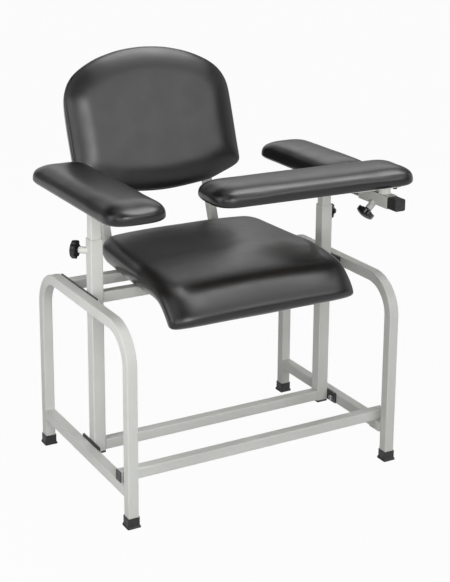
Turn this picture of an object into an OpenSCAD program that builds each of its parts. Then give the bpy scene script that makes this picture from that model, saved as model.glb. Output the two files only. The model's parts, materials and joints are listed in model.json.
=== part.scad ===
// Phlebotomy chair: two bent side hoops, a padded seat and back, a padded armrest
// on the viewer's left and, on the right, a rear armrest with a swing-out crossing arm.
// X runs to the viewer's right, Y to the rear, Z up; the origin is on the floor,
// midway between the two side hoops. All sizes are in millimetres.

/* [Frame] */
// Width of the frame over the two side hoops
frame_w = 714; // [640:1:800]
// Depth of a side hoop over its two legs
frame_d = 503; // [460:1:560]
// Height of the top of the side hoops above the floor
hoop_h = 463; // [420:1:520]
// Side of the square frame tube
tube_s = 25; // [23:0.5:28]
// Wall of the square frame tube
tube_wall = 1.5; // [1.2:0.1:2]
// Outer corner radius of all the square tubes
tube_r = 2.5; // [2.2:0.1:3]
// Bend radius of the side hoops, to the centre line
hoop_bend_r = 82.5; // [60:0.5:110]
// Height of the underside of the lower side rails
rail_z = 68; // [50:1:110]
// Distance from the front of the hoops back to the front stretcher
stretcher_back = 40.1; // [28:0.1:60]
// Height of a rubber foot
foot_h = 24; // [18:1:35]
// Half width of a rubber foot at the floor
foot_half = 16.1; // [15.5:0.1:19]

/* [Posts] */
// Side of the square tube that slides inside the outer posts
inner_s = 25; // [22:0.5:27]
// Gap all round between a sliding tube and the tube round it
slide_gap = 0.5; // [0.3:0.1:0.7]
// Wall of the outer posts and of the sleeve
post_wall = 2; // [1.8:0.1:2.3]
// Height of the top of the outer posts
post_top = 590; // [570:1:610]
// Height of the lower end of the outer posts
post_bottom = 70.5; // [60:0.5:100]
// Distance of the posts' centre behind the middle of the hoops
post_y = 11.9; // [0:0.1:25]
// Thickness of the plates between the posts and the hoops
plate_t = 4.7; // [3:0.1:6]
// Length of an inner post below the top of its outer post
inner_below = 214; // [180:1:240]

/* [Seat] */
// Width of the seat cushion at its rear edge
seat_rear_w = 454; // [400:1:480]
// Width of the seat cushion at its front edge
seat_front_w = 490; // [440:1:520]
// Distance of the seat's rear edge behind the middle of the hoops
seat_rear_y = 213; // [200:1:220]
// Thickness of the seat cushion with its wrap round the board
seat_t = 67; // [56:1:75]
// How much the middle of the seat stands above its sides
seat_crown = 4; // [2:0.5:6]
// Reach of the rolled front edge ahead of the flat of the seat
seat_roll_reach = 200; // [190:1:220]
// Drop of the rolled front edge below the top of the seat
seat_roll_drop = 102; // [96:1:112]
// Distance from the middle of the hoops forward to the start of the roll
seat_roll_y = 50; // [45:1:60]
// Thickness of the plywood board under the seat
seat_board_t = 16; // [12:1:20]

/* [Back] */
// Width of the back cushion at its widest
back_w = 478; // [430:1:500]
// Height of the back cushion, along its lean
back_h = 381; // [350:1:420]
// Lean of the back from upright, in degrees
back_lean = 20; // [10:1:25]
// Thickness of the back cushion over its board
back_t = 52; // [40:1:60]
// Side of the square tube of the back uprights
upright_s = 22; // [19:0.5:24]
// Distance between the two back uprights, centre to centre
upright_pitch = 308; // [280:1:330]
// Bend radius of the uprights, to the centre line
upright_bend_r = 60; // [45:1:70]
// Straight run of an upright behind the seat's rear rail
upright_run = 101.8; // [90:0.1:115]
// Length of the leaning part of an upright
upright_l = 337; // [310:1:360]
// Distance from the bend to the lower edge of the back cushion
back_rise = 97; // [85:1:110]

/* [Arms] */
// Height of the top of the two arms' steel plates
arm_top = 679.5; // [675:0.5:690]
// Thickness of an arm plate
arm_plate_t = 5; // [4:0.5:6]
// Thickness of an armrest from its underside to its crest
pad_t = 42; // [36:1:48]
// Width of the left armrest
left_pad_w = 152; // [140:1:160]
// Length of the left armrest
left_pad_l = 482; // [440:1:500]
// Width of the rear armrest on the right
rear_pad_w = 148; // [140:1:156]
// Length of the rear armrest on the right
rear_pad_l = 325; // [290:1:340]
// Width of the crossing armrest
cross_pad_w = 150; // [140:1:154]
// Length of the crossing armrest
cross_pad_l = 527; // [480:1:540]
// Length of the bar that carries the right arm's pieces
bar_l = 405; // [395:1:415]
// Length of the sleeve that slides on the bar
sleeve_l = 111.5; // [100:0.5:115]
// Distance of the sleeve's front end ahead of the middle of the hoops
sleeve_front = 266.5; // [262:0.5:270]
// Turn of the crossing arm at rest, in degrees
cross_yaw = -2.3; // [-4:0.1:0]

/* [Clamps] */
// Diameter of a clamp knob
knob_d = 43; // [36:1:48]
// Radius of the threaded stud of a clamp knob
stud_r = 4; // [3:0.5:5]
// Radius of the welded boss that a stud runs through
boss_r = 8.2; // [7:0.1:10]
// Distance from a tube's centre line to the end of its boss
boss_reach = 37; // [34:0.5:40]
// Distance of the clamps' centre line below the top of the outer posts
clamp_drop = 30; // [25:1:45]

/* [Hidden] */

// Fineness of the corner arcs, of round pieces and of the large bends
corner_fn = 24;
round_fn = 48;
bend_fn = 96;
// Overrun of a cut past the face that it leaves
cut = 1;

// Clearances
fit_gap = 0.1;      // a plug or a cap on its tube, and a stud in its bore
screw_gap = 0.05;   // a screw in the hole that it holds in
hole_gap = 0.3;     // a fastener in its clearance hole, on the radius
soft_gap = 0.3;     // a cushion and the board in its underside
seat_rim_gap = 1;   // the seat cushion's underside and the rails
tip_gap = 0.2;      // a clamp's stud and the corner that it presses
turn_gap = 0.1;     // the crossing arm's plate and the boss that it turns on

// Frame
half_w = frame_w / 2;
half_d = frame_d / 2;
hoop_x = half_w - tube_s / 2;
leg_y = half_d - tube_s / 2;
top_axis_z = hoop_h - tube_s / 2;
bend_y = leg_y - hoop_bend_r;
bend_z = top_axis_z - hoop_bend_r;
foot_sole = 4;
foot_wall = 1.7;
foot_flange_h = 5.5;
foot_r = 3;
rail_l = frame_d - 2 * tube_s;
rail_top = rail_z + tube_s;
stretcher_y = tube_s / 2 + stretcher_back - half_d;
plug_head = 2;
plug_shank = 14;
bracket_t = 3;
bracket_h = 24;
bracket_gap = 0.8;

// Posts and the cross tubes between them
post_s = inner_s + 2 * (slide_gap + post_wall);
post_x = half_w - tube_s - plate_t - post_s / 2;
post_plug_h = 5;
lower_rail_z = 72;
cross_y = post_y - post_s / 2 + tube_s / 2;
cross_l = 2 * (post_x - post_s / 2);
rear_rail_back = 84.1;
rear_rail_y = post_y + post_s / 2 + rear_rail_back + tube_s / 2;
rear_rail_l = 2 * (post_x + post_s / 2);
inner_z0 = post_top - inner_below;

// Mounting plates and their bolts
plate_x = half_w - tube_s - plate_t;
plate_lead = 33.9;
plate_tail = 31;
lower_tail = 28.1;
lower_plate_z = 70;
upper_front = post_y - post_s / 2 - plate_lead;
upper_rear = rear_rail_y + tube_s / 2 + plate_tail;
lower_front = post_y - post_s / 2 - plate_lead;
lower_rear = post_y + post_s / 2 + lower_tail;
plate_bolt_edge = 15;
bolt_r = 4;
bolt_head_r = 7.5;
bolt_head_h = 5.3;
bolt_past = 9;
insert_r = 5.5;
insert_collar_r = 7;
insert_collar_h = 3;
upper_bolt_ys = [
    upper_front + plate_bolt_edge,
    (post_y + post_s / 2 + rear_rail_y - tube_s / 2) / 2,
    upper_rear - plate_bolt_edge
];
lower_bolt_ys = [lower_front + plate_bolt_edge, lower_rear - plate_bolt_edge];
rail_axis_z = rail_z + tube_s / 2;

// Seat
seat_z = hoop_h + seat_rim_gap;
seat_top = seat_z + seat_t;
seat_edge_r = 30;
seat_low_edge_r = 34;
seat_widest_share = 0.6;
seat_corner_r = 30;
seat_rear_min_share = 0.35;
seat_board_inset = 42;
seat_board_front = 150;
seat_board_r = 20;
seat_screw_x = 150;
screw_r = 2.6;
screw_head_r = 5.5;
screw_head_h = 3.2;
seat_screw_bite = 12;
// The roll's stations from the flat of the seat down to its lip, as shares of its
// reach and of its drop: the outer side's, the inner side's, and how far the sides
// draw in there, as a share of the corner radius
roll_shares = [
    [0.00, 0.000, 0.05, 0.644, 0.00],
    [0.15, 0.022, 0.16, 0.645, 0.00],
    [0.29, 0.067, 0.27, 0.648, 0.00],
    [0.49, 0.096, 0.37, 0.658, 0.00],
    [0.66, 0.154, 0.46, 0.690, 0.00],
    [0.78, 0.285, 0.53, 0.765, 0.02],
    [0.888, 0.480, 0.585, 0.850, 0.03],
    [0.970, 0.665, 0.63, 0.940, 0.05],
    [0.998, 0.800, 0.67, 0.985, 0.09],
    [0.965, 0.915, 0.73, 1.000, 0.20],
    [0.88, 0.990, 0.80, 1.003, 1.50]
];

// Back
turn = 90 - back_lean;
upright_x = upright_pitch / 2;
upright_y0 = rear_rail_y + tube_s / 2;
upright_bend_y = upright_y0 + upright_run;
upright_wall = 1.5;
upright_bend_steps = 16;
lean_y = upright_bend_y + upright_bend_r * sin(turn);
lean_z = top_axis_z + upright_bend_r * (1 - cos(turn));
back_board_t = 12;
back_board_inset = 22;
back_wrap = 8;
back_screw_up = 50;
back_screw_pitch = 160;
back_screw_bite = 9;
back_screw_r = 3;
// The right half of the back cushion's outline from the bottom to the top, as
// shares of half the width and of the height
back_outline_shares = [
    [0.000, 0.000], [0.192, 0.005], [0.444, 0.020], [0.598, 0.035], [0.770, 0.071],
    [0.870, 0.093], [0.950, 0.116], [0.982, 0.135], [0.994, 0.172], [0.997, 0.257],
    [1.000, 0.420],
    [1.000, 0.556], [0.996, 0.648], [0.979, 0.714], [0.929, 0.782], [0.858, 0.835],
    [0.745, 0.885], [0.573, 0.937], [0.393, 0.971], [0.225, 0.991], [0.000, 1.000]
];
// The back cushion's layers from the rear forward: how far each is drawn in, as a
// share of the edge radius, and its depth, as a share of the cushion's thickness
back_edge_r = 40;
back_layer_shares = [
    [0.42, 0.00], [0.36, 0.06], [0.26, 0.16], [0.13, 0.34], [0.04, 0.50],
    [0.00, 0.62], [0.12, 0.76], [0.42, 0.875], [0.72, 0.945], [1.05, 0.98],
    [1.50, 1.00], [2.40, 0.99], [3.20, 0.985]
];

// Arms
arm_z = arm_top - arm_plate_t;
arm_plate_w = 68;
arm_plate_l = 190;
arm_plate_inset = 8;
arm_in = 7.8;
arm_x = post_x - arm_in;
left_pad_y = 15;
arm_plate_y = 15;
board_t = 9;
board_inset = 12;
pad_tuck = 11;
pad_tuck_h = 8;
pad_dome = 65;
pad_end_l = 67;
// Squareness of the pads' rounded ends
end_power = 3.2;
square_power = 5;
pad_screw_r = 2.2;
pad_screw_head_r = 4;
pad_screw_head_h = 2.6;
pad_screw_bite = 6;
rear_pad_front = 105;
rear_pad_y = rear_pad_l / 2 - rear_pad_front;

// Bar, ferrule, sleeve and the crossing arm
bar_z = arm_z - inner_s / 2;
bar_rear_y = 110;
bar_front_y = bar_rear_y - bar_l;
ferrule_wall = 1.4;
ferrule_end = 4;
ferrule_l = 31;
sleeve_s = inner_s + 2 * (slide_gap + post_wall);
sleeve_top = bar_z + sleeve_s / 2;
pivot_boss_r = 14.5;
pivot_boss_h = 14;
pivot_back = 30.5;
pivot_y = pivot_back - sleeve_front;
pivot_r = 5;
pivot_gap = 0.08;
pivot_head_r = 8.5;
pivot_head_h = 4.5;
pivot_head_gap = 1;
cross_plate_z = sleeve_top + pivot_boss_h + turn_gap;
cross_plate_t = 4;
cross_plate_w = 126;
cross_plate_d = 80;
cross_plate_in = 28.3;
cross_plate_back = 23;
cross_bolt_edge = 10;
cross_bolt_r = 3;
cross_bolt_head_r = 5.5;
cross_bolt_head_h = 5;
cross_pad_z = cross_plate_z + cross_plate_t;
cross_pad_in = 183.2;
cross_pad_back = 38.7;
sleeve_clamp_back = 55.5;
sleeve_clamp_y = sleeve_clamp_back - sleeve_front;

// Clamp knobs
clamp_z = post_top - clamp_drop;
knob_collar_r = 8;
knob_collar_l = 5;
knob_rim = 10;
knob_dome = 5.5;
knob_lobes = 7;
knob_flute_r = 7;
knob_flute_out = 3.6;
knob_face_gap = 0.3;
stud_in_knob = 9;
inner_corner = (inner_s / 2 - tube_r) * sqrt(2) + tube_r;

// Colours
paint = [0.79, 0.80, 0.77];
dark_paint = [0.20, 0.20, 0.20];
black = [0.07, 0.07, 0.07];
vinyl = [0.14, 0.14, 0.15];
ply = [0.72, 0.58, 0.40];
zinc = [0.68, 0.70, 0.72];
steel = [0.35, 0.35, 0.36];

// ---------- tube helpers ----------

// Outline of a square with rounded corners
module rounded_square(s, r) {
    union() {
        square([s, s - 2 * r], center = true);
        square([s - 2 * r, s], center = true);
        for (i = [-1, 1], j = [-1, 1])
            translate([i * (s / 2 - r), j * (s / 2 - r)])
                circle(r = r, $fn = corner_fn);
    }
}

// Section of a square tube
module tube_section(s, wall) {
    difference() {
        rounded_square(s, tube_r);
        rounded_square(s - 2 * wall, tube_r - wall);
    }
}

// Straight tubes of length l from the origin along each axis
module tube_z(s, wall, l) {
    linear_extrude(height = l) tube_section(s, wall);
}

module tube_y(s, wall, l) {
    rotate([-90, 0, 0]) tube_z(s, wall, l);
}

module tube_x(s, wall, l) {
    rotate([0, 90, 0]) tube_z(s, wall, l);
}

// A bend in the plane X = 0, its centre at the origin, from the angle a0 over a
module tube_bend(s, wall, r, a0, a) {
    rotate([90, 0, 90]) rotate([0, 0, a0])
        rotate_extrude(angle = a, $fn = bend_fn) translate([r, 0]) tube_section(s, wall);
}

// A push-in plug along +Z: its head stands on the tube's end at z = 0, shank below
module tube_plug(s, wall, head, shank) {
    translate([0, 0, -shank]) linear_extrude(height = shank + head)
        rounded_square(s - 2 * (wall + fit_gap), tube_r - wall);
    linear_extrude(height = head) rounded_square(s, tube_r);
}

// Round solids along +X from the origin; a negative side points them along -X
module rod_x(r, l, side, fn = round_fn) {
    rotate([0, side * 90, 0]) cylinder(r = r, h = l, $fn = fn);
}

// A flat six-sided head along +Z
module hex_head(r, h) {
    cylinder(r = r, h = h, $fn = 6);
}

// ---------- side frames ----------

module side_hoop(side) {
    color(paint) difference() {
        translate([side * hoop_x, 0, 0]) union() {
            for (j = [-1, 1]) {
                translate([0, j * leg_y, foot_sole])
                    tube_z(tube_s, tube_wall, bend_z - foot_sole);
                mirror([0, j < 0 ? 1 : 0, 0]) translate([0, bend_y, bend_z])
                    tube_bend(tube_s, tube_wall, hoop_bend_r, 0, 90);
            }
            translate([0, -bend_y, top_axis_z]) tube_y(tube_s, tube_wall, 2 * bend_y);
        }
        for (y = upper_bolt_ys)
            translate([side * (half_w - tube_s - cut), y, top_axis_z])
                rod_x(insert_r + fit_gap, tube_wall + 2 * cut, side);
    }
}

module lower_rail(side) {
    color(paint) difference() {
        translate([side * hoop_x, -rail_l / 2, rail_axis_z])
            tube_y(tube_s, tube_wall, rail_l);
        for (y = lower_bolt_ys)
            translate([side * (half_w - tube_s - cut), y, rail_axis_z])
                rod_x(insert_r + fit_gap, tube_wall + 2 * cut, side);
    }
}

// Rubber foot: a square cup round the leg's end, flared into a flange at the floor
module foot(side, j) {
    half = tube_s / 2 + fit_gap + foot_wall;
    color(black) translate([side * hoop_x, j * leg_y, 0]) difference() {
        union() {
            linear_extrude(height = foot_h) rounded_square(2 * half, foot_r);
            intersection() {
                linear_extrude(height = foot_flange_h) rounded_square(2 * foot_half, foot_r);
                foot_flare(half, 0);
                foot_flare(half, 90);
            }
        }
        translate([0, 0, foot_sole]) linear_extrude(height = foot_h)
            rounded_square(tube_s + 2 * fit_gap, tube_r + fit_gap);
    }
}

// A long prism whose sides lean in from the flange's edge to the cup's wall
module foot_flare(half, a) {
    rotate([90, 0, a]) translate([0, 0, -2 * foot_half])
        linear_extrude(height = 4 * foot_half) polygon([
            [-foot_half, 0], [foot_half, 0], [foot_half, foot_flange_h / 4],
            [half, foot_flange_h], [-half, foot_flange_h], [-foot_half, foot_flange_h / 4]
        ]);
}

module front_stretcher() {
    color(paint) translate([plug_head - half_w, stretcher_y, rail_top + tube_s / 2])
        tube_x(tube_s, tube_wall, frame_w - 2 * plug_head);
}

module stretcher_end_plugs() {
    color(black) for (side = [-1, 1])
        translate([side * (half_w - plug_head), stretcher_y, rail_top + tube_s / 2])
            rotate([0, side * 90, 0]) tube_plug(tube_s, tube_wall, plug_head, plug_shank);
}

// Tabs on the inner faces of the lower rails, under the front stretcher
module stretcher_brackets() {
    color(paint) for (side = [-1, 1]) {
        x = half_w - tube_s - bracket_t;
        y0 = tube_s + bracket_gap - half_d;
        y1 = stretcher_y + tube_s / 2;
        translate([side > 0 ? x : -x - bracket_t, y0, rail_top - bracket_h])
            cube([bracket_t, y1 - y0, bracket_h]);
    }
}

// ---------- posts and cross tubes ----------

// Bore of a clamp across a tube's corner, from its centre line outwards, along +Z
module clamp_bore() {
    cylinder(r = stud_r + fit_gap, h = boss_reach + cut, $fn = round_fn);
}

// Welded boss on the corner of a square tube, along +Z; the tube runs along Y
module clamp_boss(s) {
    difference() {
        translate([0, 0, s / sqrt(2) - boss_r - cut])
            cylinder(r = boss_r, h = boss_reach - s / sqrt(2) + boss_r + cut, $fn = round_fn);
        rotate([90, 45, 0]) translate([0, 0, -s]) linear_extrude(height = 2 * s)
            rounded_square(s, tube_r);
        clamp_bore();
    }
}

// The axis of a post's clamp: out across its rear outer corner
module at_post_clamp(side) {
    translate([side * post_x, post_y, clamp_z]) rotate([0, 90, side > 0 ? 45 : 135])
        rotate([0, 0, 90]) children();
}

// The axis of the sleeve's clamp: out across its lower inner corner
module at_sleeve_clamp() {
    translate([post_x, sleeve_clamp_y, bar_z]) rotate([0, 225, 0]) children();
}

module outer_post(side) {
    color(paint) difference() {
        translate([side * post_x, post_y, post_bottom])
            tube_z(post_s, post_wall, post_top - post_bottom);
        at_post_clamp(side) clamp_bore();
    }
}

module post_bottom_plugs() {
    color(black) for (side = [-1, 1])
        translate([side * post_x, post_y, post_bottom]) rotate([180, 0, 0])
            tube_plug(post_s, post_wall, post_plug_h, plug_shank);
}

module post_clamp_boss(side) {
    color(paint) at_post_clamp(side) clamp_boss(post_s);
}

module lower_cross_rail() {
    color(paint) translate([-cross_l / 2, cross_y, lower_rail_z + tube_s / 2])
        tube_x(tube_s, tube_wall, cross_l);
}

// Upright holes for the seat's screws, through a rail at the height of the hoops' top
module seat_screw_holes(y) {
    for (side = [-1, 1])
        translate([side * seat_screw_x, y, hoop_h - tube_s - cut])
            cylinder(r = screw_r + hole_gap, h = tube_s + 2 * cut, $fn = round_fn);
}

module seat_front_rail() {
    color(paint) difference() {
        translate([-cross_l / 2, cross_y, top_axis_z]) tube_x(tube_s, tube_wall, cross_l);
        seat_screw_holes(cross_y);
    }
}

module seat_rear_rail() {
    color(paint) difference() {
        translate([-rear_rail_l / 2, rear_rail_y, top_axis_z])
            tube_x(tube_s, tube_wall, rear_rail_l);
        seat_screw_holes(rear_rail_y);
    }
}

// A flat plate on the inner side of a hoop, with a hole for each of its bolts
module mounting_plate(side, y0, y1, z0, z1, ys, bolt_z) {
    difference() {
        translate([side > 0 ? plate_x : -plate_x - plate_t, y0, z0])
            cube([plate_t, y1 - y0, z1 - z0]);
        for (y = ys) translate([side * (plate_x - cut), y, bolt_z])
            rod_x(bolt_r + hole_gap, plate_t + 2 * cut, side);
    }
}

module upper_mounting_plates() {
    color(dark_paint) for (side = [-1, 1])
        mounting_plate(side, upper_front, upper_rear, hoop_h - tube_s, hoop_h,
            upper_bolt_ys, top_axis_z);
}

module lower_mounting_plates() {
    color(dark_paint) for (side = [-1, 1])
        mounting_plate(side, lower_front, lower_rear, lower_plate_z,
            lower_rail_z + tube_s, lower_bolt_ys, rail_axis_z);
}

// Every bolt of the mounting plates, as [y, z]
plate_bolt_places = concat(
    [for (y = upper_bolt_ys) [y, top_axis_z]],
    [for (y = lower_bolt_ys) [y, rail_axis_z]]
);

module plate_bolts() {
    color(steel) for (side = [-1, 1], p = plate_bolt_places)
        translate([side * plate_x, p[0], p[1]]) {
            rotate([0, side * -90, 0]) hex_head(bolt_head_r, bolt_head_h);
            rod_x(bolt_r, plate_t + bolt_past, side);
        }
}

// Threaded inserts set in the hoops' and rails' inner walls, a collar behind the wall
module insert_nuts() {
    color(zinc) for (side = [-1, 1], p = plate_bolt_places)
        translate([side * (plate_x + plate_t), p[0], p[1]]) difference() {
            union() {
                rod_x(insert_r, bolt_past, side);
                translate([side * tube_wall, 0, 0])
                    rod_x(insert_collar_r, insert_collar_h, side);
            }
            translate([-side * cut, 0, 0])
                rod_x(bolt_r + screw_gap, bolt_past + 2 * cut, side);
        }
}

// ---------- lofted cushions ----------

function mid(points) = let (n = len(points)) [
    for (k = [0, 1, 2]) [for (p = points) p[k]] * [for (p = points) 1] / n
];

// A closed solid through rings of points that run anticlockwise seen from ahead
module loft(rings) {
    n = len(rings[0]);
    m = len(rings);
    points = concat([for (r = rings) each r], [mid(rings[0]), mid(rings[m - 1])]);
    sides = [
        for (k = [0 : m - 2], i = [0 : n - 1], h = [0, 1])
            let (a = k * n + i, b = k * n + (i + 1) % n) h == 0 ? [a, b + n, b]
                : [a, a + n, b + n]
    ];
    caps = [
        for (i = [0 : n - 1], h = [0, 1]) h == 0 ? [m * n, i, (i + 1) % n]
            : [m * n + 1, (m - 1) * n + (i + 1) % n, (m - 1) * n + i]
    ];
    polyhedron(points = points, faces = concat(sides, caps));
}

// Plan of an armrest: straight sides along Y and rounded ends, a power for each end
function pad_plan(half, reach, end_l, front_power, rear_power, steps = 8) = concat(
    [for (i = [0 : 2 * steps]) let (t = i * 90 / steps) [
        half * sign(cos(t)) * pow(abs(cos(t)), 2 / rear_power),
        reach - end_l + end_l * pow(abs(sin(t)), 2 / rear_power)
    ]],
    [for (i = [0 : 2 * steps]) let (t = 180 + i * 90 / steps) [
        half * sign(cos(t)) * pow(abs(cos(t)), 2 / front_power),
        end_l - reach - end_l * pow(abs(sin(t)), 2 / front_power)
    ]]
);

// Layers of an armrest, each a draw-in from the widest plan and a height
pad_layers = concat(
    [for (a = [0, 35, 65]) [pad_tuck * (1 - sin(a)), pad_tuck_h * (1 - cos(a))]],
    [for (a = [0, 12, 25, 38, 51, 64, 77, 90])
        [pad_dome * (1 - cos(a)), pad_tuck_h + (pad_t - pad_tuck_h) * sin(a)]]
);

// The armrest's cushion over a board of half width and reach w and l
module pad_cushion(w, l, front_power, rear_power) {
    difference() {
        loft([for (layer = pad_layers) [
            for (p = pad_plan(w / 2 - layer[0], l / 2 - layer[0], pad_end_l - layer[0],
                    front_power, rear_power)) [p[0], p[1], layer[1]]
        ]]);
        translate([0, 0, -cut]) linear_extrude(height = board_t + cut + soft_gap)
            polygon(pad_plan(w / 2 - board_inset + soft_gap,
                l / 2 - board_inset + soft_gap, pad_end_l - board_inset + soft_gap,
                front_power, rear_power));
    }
}

module pad_board(w, l, front_power, rear_power) {
    linear_extrude(height = board_t) polygon(pad_plan(w / 2 - board_inset,
        l / 2 - board_inset, pad_end_l - board_inset, front_power, rear_power));
}

// ---------- seat ----------

module rounded_board(w, y0, y1, t, r) {
    linear_extrude(height = t) union() {
        translate([-w / 2, y0 + r]) square([w, y1 - y0 - 2 * r]);
        translate([r - w / 2, y0]) square([w - 2 * r, y1 - y0]);
        for (x = [r - w / 2, w / 2 - r], y = [y0 + r, y1 - r])
            translate([x, y]) circle(r = r, $fn = round_fn);
    }
}

seat_board_w = seat_rear_w - 2 * seat_board_inset;

module seat_board() {
    color(ply) difference() {
        translate([0, 0, hoop_h]) rounded_board(seat_board_w, -seat_board_front,
            seat_rear_y - seat_board_inset, seat_board_t, seat_board_r);
        for (side = [-1, 1], y = [cross_y, rear_rail_y])
            translate([side * seat_screw_x, y, hoop_h - cut])
                cylinder(r = screw_r + screw_gap, h = seat_screw_bite + cut, $fn = round_fn);
    }
}

// Half width of the seat at the distance y behind the middle of the hoops
function seat_half(y) = let (t = (seat_rear_y - y) / (seat_rear_y + seat_roll_y))
    (seat_rear_w + (seat_front_w - seat_rear_w) * min(t, 1)) / 2;

// Stations of the seat from its rear edge to its lip: top y, z, bottom y, z, half
// width and crown
seat_stations = concat(
    [for (a = [0, 22, 45, 68, 90]) let (
        y = seat_rear_y - seat_edge_r * (1 - cos(a)),
        h = seat_t * (seat_rear_min_share + (1 - seat_rear_min_share) * sin(a)) / 2,
        z = seat_z + seat_t / 2
    ) [y, z + h, y, z - h, seat_half(y) - seat_corner_r * (1 - sin(a)),
        seat_crown * sin(a)]],
    [for (s = [0.4, 0.75]) let (y = seat_rear_y - s * (seat_rear_y + seat_roll_y))
        [y, seat_top, y, seat_z, seat_half(y), seat_crown]],
    [for (s = roll_shares) [
        -seat_roll_y - s[0] * seat_roll_reach, seat_top - s[1] * seat_roll_drop,
        -seat_roll_y - s[2] * seat_roll_reach, seat_top - s[3] * seat_roll_drop,
        seat_front_w / 2 - s[4] * seat_corner_r, seat_crown * (1 - s[1])
    ]]
);

// One section across the seat: sides rounded above and below their widest place, a
// crowned top and a flat underside
function seat_ring(s, side_steps = 8, top_steps = 8) = let (
    flat = s[4] - seat_edge_r,
    rise = s[5] / norm([s[0] - s[2], s[1] - s[3]]),
    side = [for (i = [0 : side_steps]) let (t = i * 180 / side_steps - 90) t < 0
        ? [s[4] - seat_low_edge_r * (1 - cos(t)), seat_widest_share * (1 + sin(t))]
        : [s[4] - seat_edge_r * (1 - cos(t)),
            seat_widest_share + (1 - seat_widest_share) * sin(t)]],
    across = concat(
        side,
        [for (i = [1 : top_steps - 1]) let (q = 1 - 2 * i / top_steps)
            [flat * q, 1 + rise * (1 - q * q)]],
        [for (i = [0 : side_steps]) let (p = side[side_steps - i]) [-p[0], p[1]]]
    )
) [for (p = across) [p[0], s[2] + (s[0] - s[2]) * p[1], s[3] + (s[1] - s[3]) * p[1]]];

module seat_cushion() {
    color(vinyl) difference() {
        loft([for (s = seat_stations) seat_ring(s)]);
        translate([0, 0, hoop_h - cut]) rounded_board(seat_board_w + 2 * soft_gap,
            -seat_board_front - soft_gap, seat_rear_y - seat_board_inset + soft_gap,
            seat_board_t + cut, seat_board_r);
    }
}

module seat_screws() {
    color(zinc) for (side = [-1, 1], y = [cross_y, rear_rail_y])
        translate([side * seat_screw_x, y, hoop_h - tube_s]) {
            cylinder(r = screw_r, h = tube_s + seat_screw_bite - fit_gap, $fn = round_fn);
            translate([0, 0, -screw_head_h])
                cylinder(r = screw_head_r, h = screw_head_h, $fn = round_fn);
        }
}

// ---------- back ----------

// The back's own frame: Y up along the lean, Z towards the sitter, at the bend's end
module on_lean() {
    translate([0, lean_y, lean_z]) rotate([turn, 0, 0]) children();
}

back_screw_ups = [back_rise + back_screw_up, back_rise + back_screw_up + back_screw_pitch];

// Centres and headings of an upright's sections: y, z and the angle from level
function upright_path(over) = concat(
    [[upright_y0 - over, top_axis_z, 0]],
    [for (i = [0 : upright_bend_steps]) let (h = turn * i / upright_bend_steps) [
        upright_bend_y + upright_bend_r * sin(h),
        top_axis_z + upright_bend_r * (1 - cos(h)), h
    ]],
    [[lean_y + (upright_l + over) * cos(turn), lean_z + (upright_l + over) * sin(turn), turn]]
);

// Points round a square of side s with corners of radius r
function square_ring(s, r, steps = 4) = [
    for (c = [0 : 3], i = [0 : steps]) let (t = 90 * (c + i / steps), d = s / 2 - r) [
        (c == 0 || c == 3 ? d : -d) + r * cos(t), (c < 2 ? d : -d) + r * sin(t)
    ]
];

// A bar of rounded square section bent along an upright's path
module upright_sweep(s, r, over) {
    loft([for (p = upright_path(over)) [
        for (q = square_ring(s, r)) [-q[0], p[0] - q[1] * sin(p[2]), p[1] + q[1] * cos(p[2])]
    ]]);
}

module back_upright(side) {
    color(paint) difference() {
        translate([side * upright_x, 0, 0]) difference() {
            upright_sweep(upright_s, tube_r, 0);
            upright_sweep(upright_s - 2 * upright_wall, tube_r - upright_wall, cut);
        }
        on_lean() for (v = back_screw_ups)
            translate([side * upright_x, v, -upright_s / 2 - cut])
                cylinder(r = back_screw_r + hole_gap, h = upright_s + 2 * cut, $fn = round_fn);
    }
}

module upright_plugs() {
    color(black) for (side = [-1, 1])
        on_lean() translate([side * upright_x, upright_l, 0]) rotate([-90, 0, 0])
            tube_plug(upright_s, upright_wall, plug_head, plug_shank);
}

// The back's outline drawn in by d all round, going round anticlockwise
function back_plan(d) = let (
    n = len(back_outline_shares),
    half = back_w / 2, rise = back_h / 2,
    kx = (half - d) / half, ky = (rise - d) / rise,
    right = [for (p = back_outline_shares)
        [p[0] * half * kx, back_rise + rise + (p[1] * back_h - rise) * ky]]
) concat(right, [for (i = [n - 2 : -1 : 1]) [-right[i][0], right[i][1]]]);

module back_board() {
    color(ply) difference() {
        on_lean() translate([0, 0, upright_s / 2]) linear_extrude(height = back_board_t)
            polygon(back_plan(back_board_inset));
        on_lean() for (side = [-1, 1], v = back_screw_ups)
            translate([side * upright_x, v, upright_s / 2 - cut])
                cylinder(r = back_screw_r + screw_gap, h = back_screw_bite + cut,
                    $fn = round_fn);
    }
}

back_z0 = upright_s / 2 + back_board_t - back_wrap;

module back_cushion() {
    color(vinyl) on_lean() difference() {
        loft([for (layer = back_layer_shares) [
            for (p = back_plan(layer[0] * back_edge_r))
                [p[0], p[1], back_z0 + layer[1] * (back_t + back_wrap)]
        ]]);
        translate([0, 0, upright_s / 2 - cut])
            linear_extrude(height = back_board_t + cut + soft_gap)
                polygon(back_plan(back_board_inset - soft_gap));
    }
}

module back_screws() {
    color(zinc) on_lean() for (side = [-1, 1], v = back_screw_ups)
        translate([side * upright_x, v, -upright_s / 2]) {
            cylinder(r = back_screw_r, h = upright_s + back_screw_bite - fit_gap,
                $fn = round_fn);
            translate([0, 0, -screw_head_h])
                cylinder(r = screw_head_r, h = screw_head_h, $fn = round_fn);
        }
}

// ---------- arms on the posts ----------

module inner_post(side, top) {
    color(paint) translate([side * post_x, post_y, inner_z0])
        tube_z(inner_s, tube_wall, top - inner_z0);
}

// Centres of an arm plate's four screws, about the plate's own centre
arm_screw_x = arm_plate_w / 2 - arm_plate_inset;
arm_screw_y = arm_plate_l / 2 - arm_plate_inset;

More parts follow.
